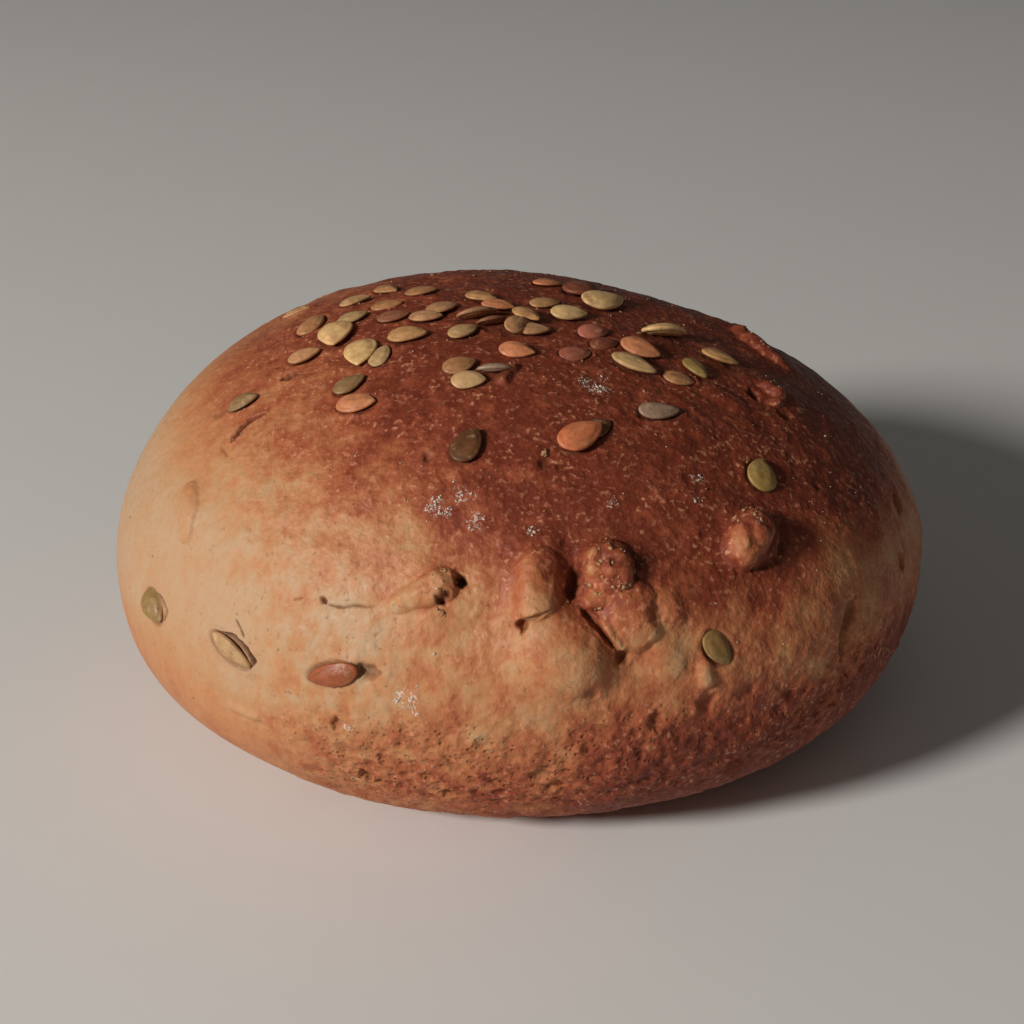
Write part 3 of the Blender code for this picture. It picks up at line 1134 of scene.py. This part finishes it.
def make_floor():
    bpy.ops.mesh.primitive_plane_add(size=FLOOR_SIZE, location=(0, 0, FLOOR_HEIGHT))
    floor = bpy.context.object
    floor.name = "floor"
    paint = Paint("pale_floor")
    colour = paint.mix(paint.noise(3, 2), FLOOR_COLOUR, [part * 0.97 for part in FLOOR_COLOUR])
    rough = paint.span(paint.noise(40, 2), 0.3, 0.7, 0.75, 0.85)
    floor.data.materials.append(paint.finish(colour, rough, paint.bump(paint.noise(90, 2), 0.0001, 0.2)))


def make_area_light(name, place, size, power, colour=(1, 1, 1)):
    light = bpy.data.lights.new(name, "AREA")
    light.shape, light.size, light.energy, light.color = "DISK", size, power, colour
    lamp = add_to_scene(name, light)
    lamp.location = place
    lamp.rotation_euler = (place - MIDDLE).to_track_quat("Z", "Y").to_euler()


def make_light():
    key = MIDDLE + direction_to(KEY_BEARING, KEY_ELEVATION) * KEY_DISTANCE
    make_area_light("key", key, KEY_SIZE, KEY_POWER, KEY_COLOUR)
    make_area_light("fill", FILL_PLACE, FILL_SIZE, FILL_POWER)
    world = bpy.data.worlds.new("studio")
    world.use_nodes = True
    background = world.node_tree.nodes["Background"].inputs
    background["Color"].default_value = WORLD_COLOUR
    background["Strength"].default_value = WORLD_STRENGTH
    bpy.context.scene.world = world
    bpy.context.scene.view_settings.view_transform = "Standard"


def make_camera():
    camera = bpy.data.cameras.new("camera")
    camera.lens, camera.sensor_width, camera.clip_start = LENS, SENSOR, 0.01
    holder = add_to_scene("camera", camera)
    holder.location = CAMERA_PLACE
    holder.rotation_euler = (math.pi / 2 - ELEVATION, 0, 0)
    bpy.context.scene.camera = holder


# --- The whole ---
def make_loaf():
    mesh = grow_smooth_form(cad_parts["loaf"])
    form = BVHTree.FromBMesh(mesh)
    seeds = seeds_in_view(form)
    seeds += seeds_out_of_view(form, seeds)
    crust = make_crust(mesh, form, seeds)
    paint_crust(crust)
    seed_piece = make_seeds(seeds)
    paint_seeds(seed_piece)
    surface = surface_of(crust)
    flour = make_flour(surface, form)
    paint_plain(flour, "flour", FLOUR_COLOURS, 0.8)
    crumbs = make_crumbs(surface, form)
    paint_plain(crumbs, "crumb", CRUMB_COLOURS, 0.65)
    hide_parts("loaf")
    for piece in (crust, seed_piece, flour, crumbs):
        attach(piece, "root")


make_camera()
make_light()
make_floor()
make_loaf()
